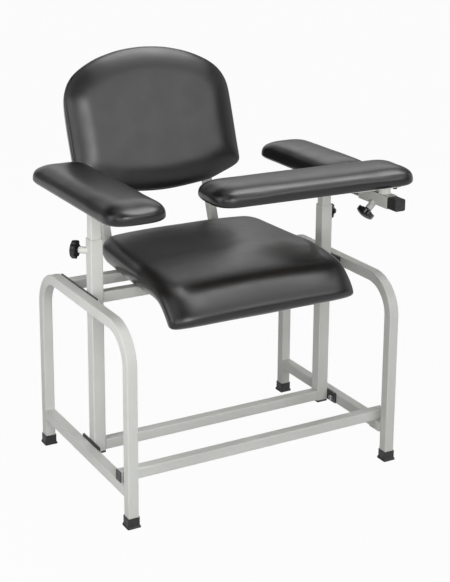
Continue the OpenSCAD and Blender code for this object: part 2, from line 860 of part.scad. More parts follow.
module arm_plate(side) {
    color(paint) difference() {
        translate([side * arm_x - arm_plate_w / 2, arm_plate_y - arm_plate_l / 2, arm_z])
            cube([arm_plate_w, arm_plate_l, arm_plate_t]);
        for (i = [-1, 1], j = [-1, 1])
            translate([side * arm_x + i * arm_screw_x, arm_plate_y + j * arm_screw_y,
                    arm_z - cut])
                cylinder(r = pad_screw_r + hole_gap, h = arm_plate_t + 2 * cut,
                    $fn = round_fn);
    }
}

module arm_screws(side) {
    color(zinc) for (i = [-1, 1], j = [-1, 1])
        translate([side * arm_x + i * arm_screw_x, arm_plate_y + j * arm_screw_y, arm_z]) {
            cylinder(r = pad_screw_r, h = arm_plate_t + pad_screw_bite - fit_gap,
                $fn = round_fn);
            translate([0, 0, -pad_screw_head_h])
                cylinder(r = pad_screw_head_r, h = pad_screw_head_h, $fn = round_fn);
        }
}

// Blind holes for an arm's four screws in its board
module arm_board_holes(side) {
    for (i = [-1, 1], j = [-1, 1])
        translate([side * arm_x + i * arm_screw_x, arm_plate_y + j * arm_screw_y,
                arm_top - cut])
            cylinder(r = pad_screw_r + screw_gap, h = pad_screw_bite + cut, $fn = round_fn);
}

module left_arm_board() {
    color(ply) difference() {
        translate([-arm_x, left_pad_y, arm_top])
            pad_board(left_pad_w, left_pad_l, end_power, end_power);
        arm_board_holes(-1);
    }
}

module left_arm_cushion() {
    color(vinyl) translate([-arm_x, left_pad_y, arm_top])
        pad_cushion(left_pad_w, left_pad_l, end_power, end_power);
}

module rear_arm_board() {
    color(ply) difference() {
        translate([arm_x, rear_pad_y, arm_top])
            pad_board(rear_pad_w, rear_pad_l, square_power, end_power);
        arm_board_holes(1);
    }
}

module rear_arm_cushion() {
    color(vinyl) translate([arm_x, rear_pad_y, arm_top])
        pad_cushion(rear_pad_w, rear_pad_l, square_power, end_power);
}

// ---------- bar, sleeve and crossing arm ----------

module arm_bar() {
    color(paint) translate([post_x, bar_front_y, bar_z])
        tube_y(inner_s, tube_wall, bar_l);
}

// Rubber cap over the bar's front end
module bar_ferrule() {
    s = inner_s + 2 * (fit_gap + ferrule_wall);
    color(black) difference() {
        translate([post_x, bar_front_y - ferrule_end, bar_z]) rotate([-90, 0, 0])
            linear_extrude(height = ferrule_l) rounded_square(s, tube_r + ferrule_wall);
        translate([post_x, bar_front_y, bar_z]) rotate([-90, 0, 0])
            linear_extrude(height = ferrule_l)
                rounded_square(inner_s + 2 * fit_gap, tube_r + fit_gap);
    }
}

module bar_rear_plug() {
    color(black) translate([post_x, bar_rear_y, bar_z]) rotate([-90, 0, 0])
        tube_plug(inner_s, tube_wall, plug_head, plug_shank);
}

module cross_sleeve() {
    color(paint) difference() {
        translate([post_x, -sleeve_front, bar_z]) tube_y(sleeve_s, post_wall, sleeve_l);
        at_sleeve_clamp() clamp_bore();
        translate([post_x, pivot_y, sleeve_top - post_wall - cut])
            cylinder(r = pivot_r + screw_gap, h = post_wall + 2 * cut, $fn = round_fn);
    }
}

module sleeve_clamp_boss() {
    color(paint) at_sleeve_clamp() clamp_boss(sleeve_s);
}

module pivot_boss() {
    color(paint) translate([post_x, pivot_y, sleeve_top]) difference() {
        cylinder(r = pivot_boss_r, h = pivot_boss_h, $fn = round_fn);
        translate([0, 0, -cut])
            cylinder(r = pivot_r + screw_gap, h = pivot_boss_h + 2 * cut, $fn = round_fn);
    }
}

// Low-headed pivot bolt: its head lies in a hole of the crossing arm's board
module pivot_bolt() {
    color(steel) translate([post_x, pivot_y, 0]) {
        translate([0, 0, sleeve_top - post_wall])
            cylinder(r = pivot_r, h = cross_pad_z + fit_gap - sleeve_top + post_wall,
                $fn = round_fn);
        translate([0, 0, cross_pad_z + fit_gap])
            cylinder(r = pivot_head_r, h = pivot_head_h, $fn = round_fn);
    }
}

// The crossing arm's frame: its origin on the pivot, turned as the arm rests
module on_cross_arm() {
    translate([post_x, pivot_y, 0]) rotate([0, 0, cross_yaw]) children();
}

// Centre of the plate and its four bolts, from the pivot
cross_plate_places = [for (i = [-1, 1], j = [-1, 1]) [
    i * (cross_plate_w / 2 - cross_bolt_edge) - cross_plate_in,
    j * (cross_plate_d / 2 - cross_bolt_edge) + cross_plate_back
]];

module cross_arm_plate() {
    color(paint) on_cross_arm() difference() {
        translate([-cross_plate_in - cross_plate_w / 2, cross_plate_back - cross_plate_d / 2,
                cross_plate_z])
            cube([cross_plate_w, cross_plate_d, cross_plate_t]);
        translate([0, 0, cross_plate_z - cut])
            cylinder(r = pivot_r + pivot_gap, h = cross_plate_t + 2 * cut, $fn = round_fn);
        for (p = cross_plate_places) translate([p[0], p[1], cross_plate_z - cut])
            cylinder(r = cross_bolt_r + hole_gap, h = cross_plate_t + 2 * cut,
                $fn = round_fn);
    }
}

module cross_arm_bolts() {
    color(black) on_cross_arm() for (p = cross_plate_places)
        translate([p[0], p[1], cross_plate_z]) {
            cylinder(r = cross_bolt_r, h = cross_plate_t + pad_screw_bite - fit_gap,
                $fn = round_fn);
            translate([0, 0, -cross_bolt_head_h]) hex_head(cross_bolt_head_r, cross_bolt_head_h);
        }
}

// The crossing pad's place: its long side lies along X
module at_cross_pad() {
    on_cross_arm() translate([-cross_pad_in, cross_pad_back, cross_pad_z])
        rotate([0, 0, 90]) children();
}

module cross_arm_board() {
    color(ply) difference() {
        at_cross_pad() pad_board(cross_pad_w, cross_pad_l, end_power, end_power);
        on_cross_arm() translate([0, 0, cross_pad_z - cut])
            cylinder(r = pivot_head_r + pivot_head_gap, h = board_t + 2 * cut, $fn = round_fn);
        on_cross_arm() for (p = cross_plate_places)
            translate([p[0], p[1], cross_pad_z - cut])
                cylinder(r = cross_bolt_r + screw_gap, h = pad_screw_bite + cut,
                    $fn = round_fn);
    }
}

module cross_arm_cushion() {
    color(vinyl) at_cross_pad() pad_cushion(cross_pad_w, cross_pad_l, end_power, end_power);
}

// ---------- clamp knobs ----------

// Lobed knob along +Z: a collar, then a fluted rim under a shallow dome
module knob() {
    z0 = boss_reach + knob_face_gap;
    z1 = z0 + knob_collar_l;
    r = knob_d / 2;
    // radius of the sphere that gives the dome its height over the rim
    dome_r = (r * r + knob_dome * knob_dome) / (2 * knob_dome);
    color(black) difference() {
        union() {
            translate([0, 0, z0])
                cylinder(r = knob_collar_r, h = knob_collar_l + cut, $fn = round_fn);
            intersection() {
                translate([0, 0, z1]) linear_extrude(height = knob_rim + knob_dome)
                    difference() {
                        circle(r = r, $fn = bend_fn);
                        for (i = [0 : knob_lobes - 1]) rotate(i * 360 / knob_lobes)
                            translate([r + knob_flute_out, 0])
                                circle(r = knob_flute_r, $fn = round_fn);
                    }
                translate([0, 0, z1 + knob_rim + knob_dome - dome_r])
                    sphere(r = dome_r, $fn = bend_fn);
            }
        }
        translate([0, 0, z0 - cut])
            cylinder(r = stud_r + screw_gap, h = cut + stud_in_knob, $fn = round_fn);
    }
}

// Threaded stud along +Z, from just clear of the inner tube's corner into the knob
module stud() {
    z0 = inner_corner + tip_gap;
    z1 = boss_reach + knob_face_gap + stud_in_knob - fit_gap;
    color(zinc) translate([0, 0, z0]) cylinder(r = stud_r, h = z1 - z0, $fn = round_fn);
}

side_hoop(-1);  // left_side_hoop
side_hoop(1);  // right_side_hoop
lower_rail(-1);  // left_lower_rail
lower_rail(1);  // right_lower_rail
foot(-1, -1);  // front_left_foot
foot(1, -1);  // front_right_foot
foot(-1, 1);  // rear_left_foot
foot(1, 1);  // rear_right_foot
front_stretcher();
stretcher_end_plugs();
stretcher_brackets();
outer_post(-1);  // left_outer_post
outer_post(1);  // right_outer_post
post_bottom_plugs();
lower_cross_rail();
seat_front_rail();
seat_rear_rail();
upper_mounting_plates();
lower_mounting_plates();
plate_bolts();
insert_nuts();
post_clamp_boss(-1);  // left_clamp_boss
post_clamp_boss(1);  // right_clamp_boss
seat_board();
seat_cushion();
seat_screws();
back_upright(-1);  // left_back_upright
back_upright(1);  // right_back_upright
upright_plugs();
back_board();
back_cushion();
back_screws();
inner_post(-1, arm_z);  // left_inner_post
arm_plate(-1);  // left_arm_plate
left_arm_board();
left_arm_cushion();
arm_screws(-1);  // left_arm_screws
inner_post(1, arm_z - inner_s);  // right_inner_post
arm_bar();
bar_ferrule();
bar_rear_plug();
arm_plate(1);  // rear_arm_plate
rear_arm_board();
rear_arm_cushion();
arm_screws(1);  // rear_arm_screws
cross_sleeve();
sleeve_clamp_boss();
pivot_boss();
pivot_bolt();
cross_arm_plate();
cross_arm_board();
cross_arm_cushion();
cross_arm_bolts();
at_post_clamp(-1) knob();  // left_knob
at_post_clamp(-1) stud();  // left_stud
at_post_clamp(1) knob();  // right_knob
at_post_clamp(1) stud();  // right_stud
at_sleeve_clamp() knob();  // cross_knob
at_sleeve_clamp() stud();  // cross_stud
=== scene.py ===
import json
import math
import bpy
import bmesh
from mathutils import Matrix, Vector


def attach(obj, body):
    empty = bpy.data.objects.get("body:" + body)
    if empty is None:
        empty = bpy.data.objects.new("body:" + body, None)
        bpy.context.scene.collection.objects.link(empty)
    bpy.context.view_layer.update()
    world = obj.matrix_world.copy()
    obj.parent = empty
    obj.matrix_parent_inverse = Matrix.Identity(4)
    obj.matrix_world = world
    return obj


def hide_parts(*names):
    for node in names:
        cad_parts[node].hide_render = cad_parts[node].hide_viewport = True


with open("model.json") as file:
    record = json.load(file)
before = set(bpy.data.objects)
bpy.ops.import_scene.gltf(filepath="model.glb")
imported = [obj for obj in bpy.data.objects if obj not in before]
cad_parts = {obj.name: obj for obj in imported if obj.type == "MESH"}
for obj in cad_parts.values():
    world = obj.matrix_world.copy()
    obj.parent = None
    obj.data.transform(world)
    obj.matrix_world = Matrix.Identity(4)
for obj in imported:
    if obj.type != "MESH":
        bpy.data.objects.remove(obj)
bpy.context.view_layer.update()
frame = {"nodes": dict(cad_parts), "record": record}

scene = bpy.context.scene
MM = 1000       # millimetres in a metre


# ---------- camera ----------

# the camera fitted to the photograph: angles in radians, place in metres, and the
# lengths on the film in the photograph's pixels
YAW, PITCH, TILT = 0.5144, 0.2458, 0.0068
EYE = (-1.48652, -2.66743, 1.47996)
FOCAL, PHOTO_H, FILM_SHIFT = 1339.16, 582, -120.0
SENSOR, NEAR = 36, 0.05


def look():
    """The photograph's view: a camera with a little upward shift of the film."""
    fwd = Vector((math.sin(YAW) * math.cos(PITCH), math.cos(YAW) * math.cos(PITCH),
                  -math.sin(PITCH)))
    right = Vector((math.cos(YAW), -math.sin(YAW), 0))
    up = right.cross(fwd)
    r = math.cos(TILT) * right + math.sin(TILT) * up
    u = -math.sin(TILT) * right + math.cos(TILT) * up
    cam = bpy.data.objects.new("camera", bpy.data.cameras.new("camera"))
    scene.collection.objects.link(cam)
    m = Matrix((r, u, -fwd)).transposed().to_4x4()
    m.translation = Vector(EYE)
    cam.matrix_world = m
    cam.data.sensor_width = SENSOR
    cam.data.lens = FOCAL * SENSOR / PHOTO_H
    cam.data.shift_y = FILM_SHIFT / PHOTO_H
    cam.data.clip_start = NEAR
    scene.camera = cam


look()


# ---------- node helpers ----------

def lin(c):
    c = c / 255
    return c / 12.92 if c <= 0.04045 else ((c + 0.055) / 1.055) ** 2.4


def rgb(r, g, b):
    return (lin(r), lin(g), lin(b), 1)


def grey(tone):
    return rgb(tone, tone, tone)


WHITE = (1, 1, 1, 1)


class Tree:
    """A short way to write a node tree. Values are numbers or other nodes' sockets."""

    def __init__(self, tree):
        self.tree = tree

    def add(self, kind, **values):
        node = self.tree.nodes.new(kind)
        for key, value in values.items():
            setattr(node, key, value)
        return node

    def put(self, node, values):
        for key, value in values.items():
            socket = node.inputs[key]
            if isinstance(value, bpy.types.NodeSocket):
                self.tree.links.new(value, socket)
            else:
                socket.default_value = value
        return node

    def ramp(self, value, a, b, lo=0.0, hi=1.0):
        n = self.add("ShaderNodeMapRange", interpolation_type="SMOOTHSTEP")
        self.put(n, {"Value": value, "From Min": a, "From Max": b, "To Min": lo,
                     "To Max": hi})
        return n.outputs["Result"]

    def math(self, op, a, b=0.0, c=0.0):
        n = self.put(self.add("ShaderNodeMath", operation=op), {0: a, 1: b, 2: c})
        return n.outputs[0]

    def blend(self, share, a, b):
        n = self.put(self.add("ShaderNodeMixShader"), {0: share, 1: a, 2: b})
        return n.outputs[0]

    def mirrored(self, path):
        """1 on rays that a glossy or a clear surface sent on."""
        return self.math("MAXIMUM", path.outputs["Is Glossy Ray"],
                         path.outputs["Is Transmission Ray"])


class Nodes(Tree):
    """A material's node tree."""

    def __init__(self, name):
        self.mat = bpy.data.materials.new(name)
        self.mat.use_nodes = True
        super().__init__(self.mat.node_tree)
        self.bsdf = self.tree.nodes["Principled BSDF"]
        self.out = self.tree.nodes["Material Output"]
        self.coord = self.add("ShaderNodeTexCoord").outputs["Object"]

    def noise(self, scale, detail=3, rough=0.5, coord=None, distortion=0.0):
        n = self.add("ShaderNodeTexNoise")
        self.put(n, {"Vector": coord or self.coord, "Scale": scale, "Detail": detail,
                     "Roughness": rough, "Distortion": distortion})
        return n.outputs["Fac"]

    def cells(self, scale):
        n = self.add("ShaderNodeTexVoronoi", feature="F1")
        self.put(n, {"Vector": self.coord, "Scale": scale, "Randomness": 1.0})
        return n.outputs["Distance"]

    def mix(self, share, a, b):
        n = self.add("ShaderNodeMix", data_type="RGBA")
        return self.put(n, {0: share, 6: a, 7: b}).outputs[2]

    def bump(self, height, distance, strength=1.0, under=None):
        n = self.add("ShaderNodeBump")
        self.put(n, {"Height": height, "Distance": distance, "Strength": strength})
        if under is not None:
            self.put(n, {"Normal": under})
        return n.outputs["Normal"]

    def finish(self, **values):
        names = {"color": "Base Color", "rough": "Roughness", "normal": "Normal",
                 "metal": "Metallic", "spec": "Specular IOR Level"}
        self.put(self.bsdf, {names[k]: v for k, v in values.items()})
        return self.mat


# ---------- materials ----------
# Noise scales are per metre, bump distances in metres.

def powder_coat(name, base, dark):
    """Satin powder coat: fine orange peel, a faint grime in random clouds and specks."""
    n = Nodes(name)
    peel = n.noise(900, 2, 0.5)
    broad_peel = n.noise(260, 2, 0.5)
    cloud = n.ramp(n.noise(7, 3, 0.55), 0.3, 0.75)
    speck = n.ramp(n.noise(340, 4, 0.7), 0.62, 0.75)
    color = n.mix(n.math("MULTIPLY", cloud, 0.55), base, dark)
    color = n.mix(n.math("MULTIPLY", speck, 0.25), color, dark)
    rough = n.ramp(n.noise(24, 4, 0.6), 0.3, 0.7, 0.36, 0.48)
    normal = n.bump(n.math("MULTIPLY_ADD", broad_peel, 0.7, peel), 0.00016, 0.5)
    return n.finish(color=color, rough=rough, normal=normal, spec=0.35)


def vinyl():
    """Black upholstery vinyl: fine pebbled grain, soft gloss, slightly cloudy."""
    n = Nodes("black_vinyl")
    warp = n.noise(120, 2, 0.5)
    pebbles = n.cells(950)
    fine = n.noise(1700, 3, 0.6)
    cloud = n.noise(9, 4, 0.55)
    grain = n.math("MULTIPLY_ADD", pebbles, -0.8, n.math("MULTIPLY", fine, 0.5))
    grain = n.math("MULTIPLY_ADD", warp, 0.35, grain)
    color = n.mix(n.ramp(cloud, 0.3, 0.7), rgb(15, 15, 16), rgb(20, 20, 21))
    color = n.mix(n.math("MULTIPLY", n.ramp(pebbles, 0.1, 0.5), 0.3), color,
                  rgb(26, 26, 27))
    rough = n.ramp(n.noise(16, 5, 0.6), 0.3, 0.72, 0.29, 0.35)
    hollow = n.bump(n.noise(22, 2, 0.4), 0.0006, 0.06)
    normal = n.bump(grain, 0.00012, 0.2, hollow)
    return n.finish(color=color, rough=rough, normal=normal, spec=0.5)


def rubber(name, tone, rough_lo, rough_hi, scale):
    """Black rubber or plastic with a little dust."""
    n = Nodes(name)
    dust = n.ramp(n.noise(60, 5, 0.65), 0.45, 0.8)
    color = n.mix(n.math("MULTIPLY", dust, 0.5), grey(tone),
                  rgb(tone + 18, tone + 18, tone + 17))
    rough = n.ramp(n.noise(90, 4, 0.6), 0.3, 0.7, rough_lo, rough_hi)
    normal = n.bump(n.noise(scale, 3, 0.6), 0.0002, 0.4)
    return n.finish(color=color, rough=rough, normal=normal)


def metal(name, base, dark, rough_lo, rough_hi):
    """Plated or blackened steel, stained here and there."""
    n = Nodes(name)
    stain = n.ramp(n.noise(70, 4, 0.6), 0.35, 0.75)
    color = n.mix(stain, base, dark)
    rough = n.ramp(n.noise(150, 4, 0.6), 0.3, 0.7, rough_lo, rough_hi)
    normal = n.bump(n.noise(800, 3, 0.6), 0.0001, 0.3)
    return n.finish(color=color, rough=rough, normal=normal, metal=1.0)


def plywood():
    """Pale plywood, its grain drawn out along the board."""
    n = Nodes("plywood")
    stretch = n.add("ShaderNodeMapping")
    n.put(stretch, {"Vector": n.coord, "Scale": (14, 1.6, 60)})
    grain = n.noise(9, 5, 0.65, stretch.outputs[0], 1.2)
    color = n.mix(n.ramp(grain, 0.3, 0.72), rgb(196, 166, 122), rgb(150, 116, 76))
    rough = n.ramp(grain, 0.3, 0.7, 0.55, 0.7)
    normal = n.bump(grain, 0.0003, 0.5)
    return n.finish(color=color, rough=rough, normal=normal)


MATS = {
    "frame_paint": powder_coat("frame_paint_coat", rgb(206, 207, 203), rgb(194, 195, 190)),
    "dark_paint": powder_coat("dark_paint_coat", rgb(58, 58, 56), rgb(44, 44, 43)),
    "foot_rubber": rubber("foot_rubber_moulded", 27, 0.5, 0.7, 700),
    "black_plastic": rubber("black_plastic_moulded", 30, 0.38, 0.5, 900),
    "knob_plastic": rubber("knob_plastic_moulded", 22, 0.24, 0.36, 900),
    "fastener_steel": metal("zinc_steel", rgb(196, 198, 200), rgb(150, 152, 156),
                            0.28, 0.42),
    "black_steel": metal("blackened_steel", rgb(66, 66, 68), rgb(40, 40, 42), 0.35, 0.5),
    "plywood": plywood(),
    "vinyl": vinyl(),
}


def dress_nodes():
    """Every CAD node gets the procedural material of its own slot."""
    slots = {s["node"]: s["material_slot"] for s in frame["record"]["subparts"]}
    for name, thing in frame["nodes"].items():
        thing.data.materials.clear()
        thing.data.materials.append(MATS[slots[name]])
        for poly in thing.data.polygons:
            poly.material_index = 0


dress_nodes()


# ---------- curves ----------
# From here on, sizes are in millimetres unless a comment says otherwise.

def run_lengths(points, key=slice(None)):
    """The length along a polyline at each of its points."""
    lengths = [0.0]
    for p, q in zip(points, points[1:]):
        lengths.append(lengths[-1] + math.dist(p[key], q[key]))
    return lengths


def spline(points, per, closed=False):
    """Points of a smooth curve through the given ones, per of them a stretch."""
    n = len(points)
    out = []
    for i in range(n if closed else n - 1):
        if closed:
            p = [points[(i + k) % n] for k in (-1, 0, 1, 2)]
        else:
            p = [points[min(max(i + k, 0), n - 1)] for k in (-1, 0, 1, 2)]
        for s in range(per):
            f = s / per
            out.append(tuple(
                0.5 * (2 * b + (c - a) * f + (2 * a - 5 * b + 4 * c - d) * f * f
                       + (3 * b - a - 3 * c + d) * f ** 3)
                for a, b, c, d in zip(*p)))
    if not closed:
        out.append(tuple(points[-1]))
    return out


def resample(points, step):
    """The same curve with even steps along its first two coordinates."""
    lengths = run_lengths(points, slice(0, 2))
    count = max(2, round(lengths[-1] / step))
    out, k = [], 1
    for i in range(count + 1):
        want = lengths[-1] * i / count
        while k < len(points) - 1 and lengths[k] < want:
            k += 1
        span = lengths[k] - lengths[k - 1]
        f = 0 if span < 1e-9 else min(max((want - lengths[k - 1]) / span, 0), 1)
        out.append(tuple(a + (b - a) * f for a, b in zip(points[k - 1], points[k])))
    return out


class Outline:
    """A closed outline cut into four sides at its corners, walked by length."""

    def __init__(self, sides):
        self.sides = [(pts, run_lengths(pts)) for pts in sides]

    def at(self, side, f):
        pts, lengths = self.sides[side]
        want = f * lengths[-1]
        for k in range(1, len(pts)):
            if lengths[k] >= want or k == len(pts) - 1:
                span = lengths[k] - lengths[k - 1]
                t = 0.0 if span < 1e-9 else (want - lengths[k - 1]) / span
                t = min(max(t, 0.0), 1.0)
                p, q = pts[k - 1], pts[k]
                return (p[0] + (q[0] - p[0]) * t, p[1] + (q[1] - p[1]) * t)
        return pts[-1]


# ---------- padded pieces ----------

PER = 8         # points of a spline between two listed ones
DRAW = 1.5      # how far the seat and the back start inside their final shape


def to_object(name, verts, faces):
    """A smooth, closed mesh object out of vertices in millimetres."""
    mesh = bpy.data.meshes.new(name)
    mesh.from_pydata([(x / MM, y / MM, z / MM) for x, y, z in verts], [], faces)
    bm = bmesh.new()
    bm.from_mesh(mesh)
    bmesh.ops.remove_doubles(bm, verts=bm.verts, dist=1e-5)
    bmesh.ops.dissolve_degenerate(bm, edges=bm.edges, dist=1e-6)
    bmesh.ops.recalc_face_normals(bm, faces=bm.faces)
    bm.to_mesh(mesh)
    bm.free()
    for poly in mesh.polygons:
        poly.use_smooth = True
    thing = bpy.data.objects.new(name, mesh)
    scene.collection.objects.link(thing)
    return thing


def sheet_grid(n, m, point):
    """Vertices and quads of an n by m sheet whose concentric rings come from
    point(ring depth 0 to 1, side 0 to 3, share of the side)."""
    half = min(n, m) / 2
    verts = []
    for j in range(m + 1):
        for i in range(n + 1):
            k = min(i, j, n - i, m - j)
            nx, my = n - 2 * k, m - 2 * k
            a, b = i - k, j - k
            if my > 0 and a == nx:
                side, f = 0, b / my
            elif nx > 0 and b == my:
                side, f = 1, 1 - a / nx
            elif my > 0 and a == 0:
                side, f = 2, 1 - b / my
            elif nx > 0 and b == 0:
                side, f = 3, a / nx
            else:
                side, f = 0, 0.5
            verts.append(point(k / half, side, f))
    faces = []
    for j in range(m):
        for i in range(n):
            a = j * (n + 1) + i
            faces.append((a, a + 1, a + n + 2, a + n + 1))
    return verts, faces


def bridge(faces, low, high, count):
    """Quads between two rings of count vertices that start at low and high."""
    for i in range(count):
        j = (i + 1) % count
        faces.append((low + i, low + j, high + j, high + i))


def shell(name, n, m, outline_at, layers, top_z, bottom_z):
    """A closed pad: a crowned top sheet, side layers and a flat bottom sheet.
    outline_at(inset) gives an Outline; layers are (inset, z) from the bottom's
    border to the top's border; top_z(depth) gives (inset, z) inside the top."""
    verts, faces = [], []

    def sheet(profile, flip):
        cache = {}

        def point(depth, side, f):
            key = round(depth, 5)
            if key not in cache:
                inset, z = profile(depth)
                cache[key] = (outline_at(inset), z)
            outline, z = cache[key]
            return (*outline.at(side, f), z)

        points, quads = sheet_grid(n, m, point)
        base = len(verts)
        verts.extend(points)
        for q in quads:
            q = tuple(base + i for i in q)
            faces.append(q[::-1] if flip else q)

    sheet(top_z, False)
    sheet(bottom_z, True)
    # the sheets' border, once round, anticlockwise from the corner of sides 3 and 0
    around = [(side, i / count) for side, count in enumerate((m, n, m, n))
              for i in range(count)]
    rings = []
    for inset, z in layers:
        outline = outline_at(inset)
        rings.append(len(verts))
        verts.extend((*outline.at(side, f), z) for side, f in around)
    for low, high in zip(rings, rings[1:]):
        bridge(faces, low, high, len(around))
    return to_object(name, verts, faces)


FRAMES = 20
STIFF = 15.0


def inflate(thing, pinned, pressure):
    """Cloth under pressure; gives where its vertices end."""
    group = thing.vertex_groups.new(name="pin")
    for v in thing.data.vertices:
        if pinned(v.co):
            group.add([v.index], 1.0, "REPLACE")
    cloth = thing.modifiers.new("Cloth", "CLOTH")
    s = cloth.settings
    s.quality = 5
    s.mass = 0.3
    s.tension_stiffness = STIFF
    s.compression_stiffness = STIFF
    s.shear_stiffness = 5
    s.bending_stiffness = 0.5
    s.use_pressure = True
    s.uniform_pressure_force = pressure
    s.effector_weights.gravity = 0
    s.vertex_group_mass = "pin"
    cloth.point_cache.frame_start = 1
    cloth.point_cache.frame_end = FRAMES
    for f in range(1, FRAMES + 1):
        scene.frame_set(f)
    graph = bpy.context.evaluated_depsgraph_get()
    done = thing.evaluated_get(graph).to_mesh()
    moved = [v.co.copy() for v in done.vertices]
    thing.evaluated_get(graph).to_mesh_clear()
    thing.modifiers.remove(cloth)
    thing.vertex_groups.clear()
    scene.frame_set(1)
    return moved


def swell(thing, cap, pinned, pressure=3.0, smooth=14):
    """Swells a pad. No vertex moves more than cap, in metres, and the movement is
    evened out smooth times; pinned(co) says what stays."""
    start = [v.co.copy() for v in thing.data.vertices]
    moved = inflate(thing, pinned, pressure)
    far, shift = 0, []
    for a, b in zip(start, moved):
        d = b - a
        far = max(far, d.length)
        shift.append(d * (cap / d.length) if d.length > cap else d)
    near = [[] for _ in start]
    for edge in thing.data.edges:
        a, b = edge.vertices
        near[a].append(b)
        near[b].append(a)
    held = [pinned(a) for a in start]
    for _ in range(smooth):
        shift = [d if fixed or not ring else
                 d * 0.5 + sum((shift[j] for j in ring), Vector()) * (0.5 / len(ring))
                 for d, ring, fixed in zip(shift, near, held)]
    for v, a, d in zip(thing.data.vertices, start, shift):
        v.co = a + d
    print("swell", thing.name, "moved", round(far * MM, 1), "mm")


def subdivide(thing):
    mod = thing.modifiers.new("Subdivision", "SUBSURF")
    mod.levels = 1
    mod.render_levels = 1
    bpy.context.view_layer.objects.active = thing
    for o in bpy.context.selected_objects:
        o.select_set(False)
    thing.select_set(True)
    bpy.ops.object.modifier_apply(modifier=mod.name)
    for poly in thing.data.polygons:
        poly.use_smooth = True


# a seam in metres: how far it reaches, its groove, and the welts beside the groove
SEAM_REACH = 0.008
GROOVE_DEPTH, GROOVE_W = 0.0016, 0.0011
WELT_H, WELT_AWAY, WELT_W = 0.0006, 0.0032, 0.0016


def sew(thing, height):
    """Draws the cover in along a seam that runs round the pad at one height."""
    spots = [(v, v.normal.copy(), v.co.z - height) for v in thing.data.vertices]
    for v, normal, off in spots:
        if abs(off) < SEAM_REACH:
            pull = GROOVE_DEPTH * math.exp(-(off / GROOVE_W) ** 2)
            welt = WELT_H * math.exp(-((abs(off) - WELT_AWAY) / WELT_W) ** 2)
            v.co = v.co + normal * (welt - pull)


def settle(thing, body, node, matrix=None):
    if matrix is not None:
        thing.data.transform(matrix)
    thing.data.materials.clear()
    thing.data.materials.append(MATS["vinyl"])
    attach(thing, body)
    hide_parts(node)


# ---------- seat ----------

# the rolled front lip: y and z of the top, y and z of the underside, and the share of
# the corner taken off the half width. y counts forwards in REACH, z down in DROP
ROLL = [
    (0.00, 0.000, 0.05, 0.644, 0.00), (0.15, 0.014, 0.16, 0.645, 0.00),
    (0.29, 0.038, 0.27, 0.648, 0.00), (0.49, 0.088, 0.37, 0.658, 0.00),
    (0.66, 0.166, 0.46, 0.690, 0.00), (0.78, 0.290, 0.53, 0.765, 0.02),
    (0.888, 0.480, 0.585, 0.850, 0.03), (0.970, 0.665, 0.63, 0.940, 0.05),
    (1.004, 0.810, 0.67, 0.995, 0.05), (0.975, 0.940, 0.73, 1.025, 0.12),
    (0.885, 1.030, 0.80, 1.045, 0.85)]
SEAT_Z, SEAT_TOP, SEAT_REAR, REACH, DROP = 464.0, 531.0, 213.0, 200.0, 102.0
SEAT_REAR_W, SEAT_FRONT_W = 454.0, 490.0
ROLL_Y = -50            # where the flat of the seat ends and the roll begins
FLAT = SEAT_REAR - ROLL_Y
FRONT_CORNER = 30       # corner of the lip's tip, in plan
REAR_CORNER = 58.0      # corner of the rear edge, in plan
# radii of the side's upper and lower edge, and the height of its widest place
EDGE, LOW_EDGE, WIDEST = 30.0, 34.0, 0.6
# how much wider the upper edge gets: at the rear, at the roll and at the lip
SOFT_REAR, SOFT_ROLL, SOFT_LIP = 10.0, 14.0, 40.0
REAR_SHARE = 0.35       # thickness of the rear edge's tip, as a share
SEAT_STEP, SEAT_ACROSS, SEAT_ARC = 9.0, 44, 7


def seat_half(y):
    """Half the width of the seat at y."""
    grown = (SEAT_FRONT_W - SEAT_REAR_W) * min((SEAT_REAR - y) / FLAT, 1)
    return (SEAT_REAR_W + grown) / 2


def seat_stations():
    """Cross-sections from the rear edge to the lip: y and z of the top, y and z of the
    underside, half width, crown, and how much wider the upper edge is."""
    rows = []
    thick, middle = SEAT_TOP - SEAT_Z, (SEAT_TOP + SEAT_Z) / 2
    for a in (0, 15, 30, 45, 60, 75, 90):
        s, c = math.sin(math.radians(a)), math.cos(math.radians(a))
        depth = REAR_CORNER * (1 - c)
        y = SEAT_REAR - depth
        bulge = math.sqrt(1 - max(1 - depth / EDGE, 0) ** 2)
        h = thick * (REAR_SHARE + (1 - REAR_SHARE) * bulge) / 2
        rows.append((y, middle + h, y, middle - h, seat_half(y) - REAR_CORNER * (1 - s),
                     8 * s, SOFT_REAR))
    for f in (0.32, 0.45, 0.58, 0.71, 0.85):
        y = SEAT_REAR - f * FLAT
        rows.append((y, SEAT_TOP, y, SEAT_Z, seat_half(y), 8.5 - 4 * f,
                     SOFT_REAR + 4 * f))
    for y1, z1, y0, z0, corner in ROLL:
        rows.append((ROLL_Y - y1 * REACH, SEAT_TOP - z1 * DROP,
                     ROLL_Y - y0 * REACH, SEAT_TOP - z0 * DROP,
                     SEAT_FRONT_W / 2 - corner * FRONT_CORNER, 5 * (1 - z1),
                     SOFT_ROLL + (SOFT_LIP - SOFT_ROLL) * min(y1 / 0.8, 1)))
    return rows


